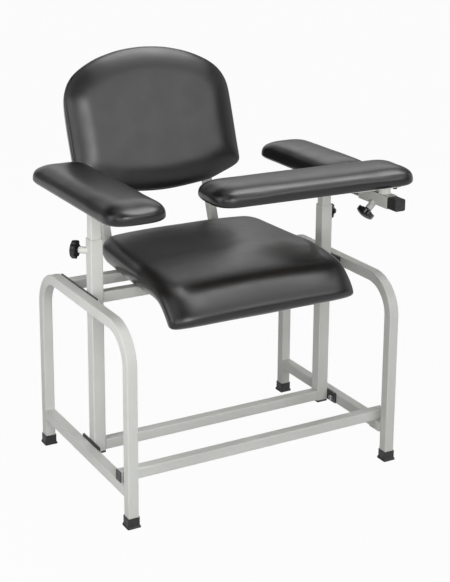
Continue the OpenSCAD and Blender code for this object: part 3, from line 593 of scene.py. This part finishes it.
def seat_section(half, crown, soft, thick):
    """One cross-section, once round: x, and the share of the thickness."""
    flat, low = half - EDGE - soft, half - LOW_EDGE
    turns = [math.radians(i * 90 / SEAT_ARC) for i in range(SEAT_ARC)]
    # from the lowest point up to the widest, and on to the top
    side = [(low + (LOW_EDGE - DRAW) * math.sin(a), WIDEST * (1 - math.cos(a)))
            for a in turns]
    side += [(flat + (EDGE + soft - DRAW) * math.cos(a),
              WIDEST + (1 - WIDEST) * math.sin(a)) for a in turns]
    pts = list(side)
    rise = crown / thick
    for i in range(SEAT_ACROSS + 1):
        q = 1 - 2 * i / SEAT_ACROSS
        pts.append((flat * q, 1 + rise * (1 - q * q)))
    pts.extend((-x, f) for x, f in side[::-1])
    for i in range(1, SEAT_ACROSS):
        pts.append((low * (2 * i / SEAT_ACROSS - 1), 0.0))
    return pts


def seat_pinned(co):
    """What lies on the seat's board, in metres."""
    return abs(co.x) < 0.19 and -0.145 < co.y < 0.175 and co.z < 0.468


def seat_pad():
    rows = resample(spline(seat_stations(), PER), SEAT_STEP)
    verts, faces = [], []
    for y1, z1, y0, z0, half, crown, soft in rows:
        thick = math.hypot(y1 - y0, z1 - z0)
        k = DRAW / thick
        pts = seat_section(half, crown, soft, thick)
        ring = len(pts)
        for x, f in pts:
            f = k + f * (1 - 2 * k)
            verts.append((x, y0 + (y1 - y0) * f, z0 + (z1 - z0) * f))
    for r in range(len(rows) - 1):
        bridge(faces, r * ring, (r + 1) * ring, ring)
    # the two ends, laddered between the upper and the lower run
    for base in (0, (len(rows) - 1) * ring):
        up = [base + i for i in range(SEAT_ARC, 3 * SEAT_ARC + SEAT_ACROSS + 1)]
        low = [base + i % ring for i in range(SEAT_ARC, SEAT_ARC - len(up), -1)]
        for i in range(len(up) - 1):
            quad = [up[i], up[i + 1], low[i + 1], low[i]]
            quad = [v for k, v in enumerate(quad) if v not in quad[:k]]
            if len(quad) > 2:
                faces.append(tuple(quad))
    thing = to_object("seat_padding", verts, faces)
    swell(thing, 0.005, seat_pinned, pressure=3.5, smooth=60)
    subdivide(thing)
    settle(thing, "frame", "seat_cushion")


# ---------- back ----------

# the right half of the back's plan from the low edge's middle to the top, in shares
BACK = [
    (0.000, 0.000), (0.192, 0.005), (0.444, 0.020), (0.598, 0.035), (0.770, 0.071),
    (0.870, 0.093), (0.950, 0.116), (0.982, 0.135), (0.994, 0.172), (0.997, 0.257),
    (1.000, 0.420), (1.000, 0.556), (0.996, 0.648), (0.979, 0.714), (0.929, 0.782),
    (0.858, 0.835), (0.745, 0.885), (0.573, 0.937), (0.393, 0.971), (0.225, 0.991),
    (0.000, 1.000)]
BACK_CORNERS = (7, 14, 26, 33)      # the listed points where the four sides meet
BACK_W, BACK_H, BACK_RISE, BACK_Z0 = 478.0, 381.0, 97.0, 15.0
SEAM_Z = 42.0   # height of the seam between the back's border and its face
# profile of the side and of the bevelled face, as (inset, height) in BACK_IN and BACK_T
BACK_IN, BACK_T = 40, 60.0
BACK_SIDE = [(0.42, 0.007), (0.36, 0.06), (0.26, 0.16), (0.13, 0.34), (0.04, 0.50),
             (0.00, 0.62), (0.12, 0.75), (0.42, 0.855)]
BACK_FACE = [(0.42, 0.855), (0.72, 0.915), (1.05, 0.962), (1.30, 0.988), (1.50, 1.000),
             (1.75, 1.005), (2.40, 1.006), (3.40, 1.009), (4.76, 1.010)]
BACK_TUCK = 16.8        # how far the underside's border lies inside the widest place
BACK_CELLS = (44, 36)
BACK_LEAN = math.radians(70)
BACK_AT = (0, 0.29418, 0.48998)     # metres


def back_pad():
    right = [(x * BACK_W / 2, y * BACK_H - BACK_H / 2) for x, y in BACK]
    loop = spline(right + [(-x, y) for x, y in right[-2:0:-1]], PER, True)
    cuts = [i * PER for i in BACK_CORNERS]
    sides = [[loop[i % len(loop)] for i in range(a, b + 1)]
             for a, b in zip(cuts, cuts[1:] + [cuts[0] + len(loop)])]

    def outline_at(inset):
        kx = max(1 - inset / (BACK_W / 2), 0.0005)
        ky = max(1 - inset / (BACK_H / 2), 0.0005)
        return Outline([[(x * kx, BACK_RISE + BACK_H / 2 + y * ky) for x, y in s]
                        for s in sides])

    curve = spline(BACK_FACE, PER)
    first, last = BACK_FACE[0][0], BACK_FACE[-1][0]

    def top(depth):
        want = first + (last - first) * depth
        z = curve[-1][1]
        for (a, za), (b, zb) in zip(curve, curve[1:]):
            if want <= b:
                f = 0 if b == a else (want - a) / (b - a)
                z = za + (zb - za) * max(f, 0)
                break
        return DRAW + want * BACK_IN, BACK_Z0 + z * BACK_T - DRAW

    def bottom(depth):
        # 18.4 leaves 0.1 in the middle
        return DRAW + BACK_TUCK + (BACK_H / 2 - 18.4) * depth, BACK_Z0 + 0.4

    fine = [(a * BACK_IN, b * BACK_T) for a, b in spline(BACK_SIDE, PER)]
    # rows 6 apart, and closer ones on both sides of the seam
    rows = [q for q in resample(fine, 6.0) if abs(q[1] - SEAM_Z) > 5]
    for z in (-4.0, -2.6, -1.3, 0.0, 1.3, 2.6, 4.0):
        nearest = min(fine, key=lambda q: abs(q[1] - SEAM_Z - z))
        rows.append((nearest[0], SEAM_Z + z))
    rows.sort(key=lambda q: q[1])
    # the draw grows towards the rim, so that the last row meets the top's border
    rim, level = rows[-1][1], 36
    layers = [(DRAW + a, BACK_Z0 + b - DRAW * max(0, b - level) / (rim - level))
              for a, b in rows]
    thing = shell("back_padding", *BACK_CELLS, outline_at, layers, top, bottom)
    swell(thing, 0.004, lambda co: co.z < BACK_Z0 / MM + 0.0012, smooth=30)
    subdivide(thing)
    sew(thing, (BACK_Z0 + SEAM_Z - 1) / MM)
    place = Matrix.Translation(BACK_AT) @ Matrix.Rotation(BACK_LEAN, 4, "X")
    settle(thing, "frame", "back_cushion", place)


# ---------- armrests ----------

# thickness, the underside's tuck and its height, reach of the dome, length of an end
PAD_T, TUCK, TUCK_H, DOME, END = 42.0, 11.0, 8.0, 65.0, 67.0
SQUARE = 0.72   # power of sine and cosine: under 1 the edge is squarer than an ellipse
CROWN = 0.8     # how much the middle stands above the dome
ARM_DRAW = 1.2
ARM_CELL, ARM_CELLS = 9, 16
HOLE = 0.05     # what a sheet leaves open in its middle
RIM = 38        # degrees of the dome at the top sheet's border
ARM_X, ARM_Z = 0.3045, 0.6795       # metres, as the places below


def pad_outline(half, reach, end_l, front_power, rear_power, steps=24):
    """Plan of an armrest, long side along Y, cut at its four shoulders."""
    half, end_l = max(half, 0.02), max(end_l, 0.02)

    def arc(a, b, front=False):
        power, sign = (front_power, -1) if front else (rear_power, 1)
        pts = []
        for i in range(steps + 1):
            t = math.radians(a + (b - a) * i / steps)
            c, s = math.cos(t), math.sin(t)
            pts.append((half * math.copysign(abs(c) ** (2 / power), c),
                        sign * (reach - end_l + end_l * abs(s) ** (2 / power))))
        return pts

    return Outline([
        arc(315, 360, front=True) + arc(0, 45),
        arc(45, 135),
        arc(135, 180) + arc(180, 225, front=True),
        arc(225, 315, front=True),
    ])


def arm_pad(name, w, l, front_power, rear_power):
    half, reach = w / 2, l / 2

    def outline_at(inset):
        return pad_outline(half - inset, reach - inset, END - inset, front_power,
                           rear_power)

    def dome(degrees):
        a = math.radians(degrees)
        return (ARM_DRAW + DOME * (1 - math.cos(a) ** SQUARE),
                TUCK_H + (PAD_T - ARM_DRAW - TUCK_H) * math.sin(a) ** SQUARE)

    def tuck(degrees):
        a = math.radians(degrees)
        return (ARM_DRAW + TUCK * (1 - math.sin(a)),
                ARM_DRAW * 0.3 + TUCK_H * (1 - math.cos(a)) * 0.98)

    def top(depth):
        start = dome(RIM)[0]
        inset = start + (half - start - HOLE) * depth
        c = max(0.0, 1 - (inset - ARM_DRAW) / DOME) ** (1 / SQUARE)
        return inset, dome(math.degrees(math.acos(c)))[1] + CROWN * depth

    def bottom(depth):
        inset = ARM_DRAW + TUCK + (half - ARM_DRAW - TUCK - HOLE) * depth
        return inset, ARM_DRAW * 0.3

    layers = [tuck(a) for a in range(0, 85, 12)]
    layers += [dome(a) for a in (0, 2, 5, 8, 12, 16, 20, 24, 28, 33, RIM)]
    rows = max(ARM_CELLS, int(round(l / ARM_CELL)))
    thing = shell(name, ARM_CELLS, rows, outline_at, layers, top, bottom)
    swell(thing, 0.003, lambda co: co.z < 0.0012)
    subdivide(thing)
    return thing


def armrests():
    place = Matrix.Translation((-ARM_X, 0.015, ARM_Z))
    settle(arm_pad("left_arm_padding", 152, 482, 3.2, 3.2), "left_arm",
           "left_arm_cushion", place)
    place = Matrix.Translation((ARM_X, 0.0575, ARM_Z))
    settle(arm_pad("rear_arm_padding", 148, 325, 5, 3.2), "right_arm",
           "rear_arm_cushion", place)
    # about the pivot, along the arm, and turned from Y to X
    place = (Matrix.Translation((0.3123, -0.236, 0))
             @ Matrix.Rotation(math.radians(-2.3), 4, "Z")
             @ Matrix.Translation((-0.1832, 0.0387, 0.6951))
             @ Matrix.Rotation(math.radians(90), 4, "Z"))
    settle(arm_pad("cross_arm_padding", 150, 527, 3.2, 3.2), "cross_arm",
           "cross_arm_cushion", place)


seat_pad()
back_pad()
armrests()


# ---------- stage ----------

SKY = 0.1                       # even light on surfaces
# what reflections find: BACKDROP at the rear of the room and BASE everywhere
BACKDROP, BASE = 0.25, 0.02
# and soft boxes: direction, inner and outer angle in degrees, strength
BOXES = [((0.43, -0.81, 0.40), 3, 12, 3.6), ((0.02, -0.91, 0.41), 4, 13, 9.5),
         ((0.60, -0.70, 0.39), 5, 14, 1.3),
         ((0.48, -0.45, 0.75), 8, 24, 2.1), ((0.42, -0.05, 0.90), 8, 24, 7.5),
         ((0.0, -0.97, 0.20), 10, 28, 1.7), ((-0.45, -0.30, 0.84), 8, 24, 1.2),
         ((-0.56, -0.73, 0.36), 7, 18, 3.4), ((-0.85, -0.10, 0.50), 8, 24, 1.2),
         ((-0.95, 0.0, 0.30), 10, 28, 1.7), ((0.97, -0.10, 0.15), 10, 28, 0.7),
         ((0.0, 0.2, 1.0), 8, 26, 0.7), ((0.43, 0.43, 0.78), 8, 24, 0.6),
         ((0.45, 0.70, 0.50), 8, 20, 1.35), ((0.10, 0.95, 0.30), 8, 22, 0.7)]
# lamps that reflections don't find: name, place, aim, watts, width and height
LAMPS = [("left_light", (-1.1, -0.2, 0.75), (-0.35, 0, 0.35), 6.8, (0.4, 1.2)),
         ("front_light", (-0.3, -2.6, 1.5), (0, 0, 0.4), 11.5, (1.3, 1.0)),
         ("low_light", (-0.9, -1.9, 0.5), (-0.4, 0, 0.3), 6.5, (0.4, 0.6)),
         ("near_light", (-0.75, -1.7, 0.8), (-0.25, 0, 0.35), 6.5, (0.6, 1.0)),
         ("right_near_light", (0.9, -1.7, 0.9), (0.2, 0, 0.35), 2.5, (0.6, 1.0)),
         ("right_light", (1.0, -2.3, 1.2), (0, 0, 0.5), 12.0, (1.1, 1.0)),
         ("rear_light", (1.5, 1.9, 1.6), (0, 0, 0.4), 17.0, (1.2, 1.0))]
FLOOR_HALF = 40         # metres
FLOOR_GLOW = 0.965      # share of white that the camera sees on the floor


def room():
    """A white studio: the object's light is soft, the background is white."""
    world = bpy.data.worlds.new("studio")
    scene.world = world
    world.use_nodes = True
    world.node_tree.nodes.clear()
    t = Tree(world.node_tree)
    toward = t.add("ShaderNodeTexCoord").outputs["Generated"]
    parts = t.put(t.add("ShaderNodeSeparateXYZ"), {0: toward}).outputs

    def soft_box(aim, inner, outer, power):
        """A round soft light in the direction aim, between two angles in degrees."""
        dot = t.add("ShaderNodeVectorMath", operation="DOT_PRODUCT")
        t.put(dot, {0: toward, 1: Vector(aim).normalized()})
        return t.ramp(dot.outputs["Value"], math.cos(math.radians(outer)),
                      math.cos(math.radians(inner)), 0.0, power)

    def sky(strength, name):
        back = t.add("ShaderNodeBackground", name=name)
        return t.put(back, {"Color": WHITE, "Strength": strength}).outputs[0]

    shine = t.math("MULTIPLY", t.ramp(parts["Z"], 0.38, 0.60, BACKDROP, 0.0),
                   t.ramp(parts["Y"], -0.35, 0.1))
    for box in BOXES:
        shine = t.math("ADD", shine, soft_box(*box))
    shine = t.math("ADD", shine, BASE)
    path = t.add("ShaderNodeLightPath")
    lit = t.blend(t.mirrored(path), sky(SKY, "soft_light"), sky(shine, "white_backdrop"))
    seen = t.blend(path.outputs["Is Camera Ray"], lit, sky(1.0, "white"))
    t.put(t.add("ShaderNodeOutputWorld"), {"Surface": seen})


def ground():
    """The floor is white to the camera, with the object's shadow kept faint."""
    n = Nodes("studio_floor")
    n.put(n.bsdf, {"Base Color": grey(176), "Roughness": 0.9, "Specular IOR Level": 0.1})
    glow = n.put(n.add("ShaderNodeEmission"), {"Color": WHITE, "Strength": 1.0})
    path = n.add("ShaderNodeLightPath")
    seen = n.math("MAXIMUM", path.outputs["Is Camera Ray"], n.mirrored(path))
    n.put(n.out, {"Surface": n.blend(n.math("MULTIPLY", seen, FLOOR_GLOW),
                                     n.bsdf.outputs[0], glow.outputs[0])})
    mesh = bpy.data.meshes.new("studio_floor")
    s = FLOOR_HALF
    mesh.from_pydata([(-s, -s, 0), (s, -s, 0), (s, s, 0), (-s, s, 0)], [], [(0, 1, 2, 3)])
    floor = bpy.data.objects.new("studio_floor", mesh)
    scene.collection.objects.link(floor)
    mesh.materials.append(n.mat)


def lamp(name, at, aim, power, size):
    data = bpy.data.lights.new(name, "AREA")
    data.shape = "RECTANGLE"
    data.size, data.size_y = size
    data.energy = power
    thing = bpy.data.objects.new(name, data)
    scene.collection.objects.link(thing)
    thing.location = at
    thing.rotation_euler = (Vector(aim) - Vector(at)).to_track_quat("-Z", "Y").to_euler()
    thing.visible_glossy = False


room()
ground()
for row in LAMPS:
    lamp(*row)
scene.view_settings.view_transform = "Standard"
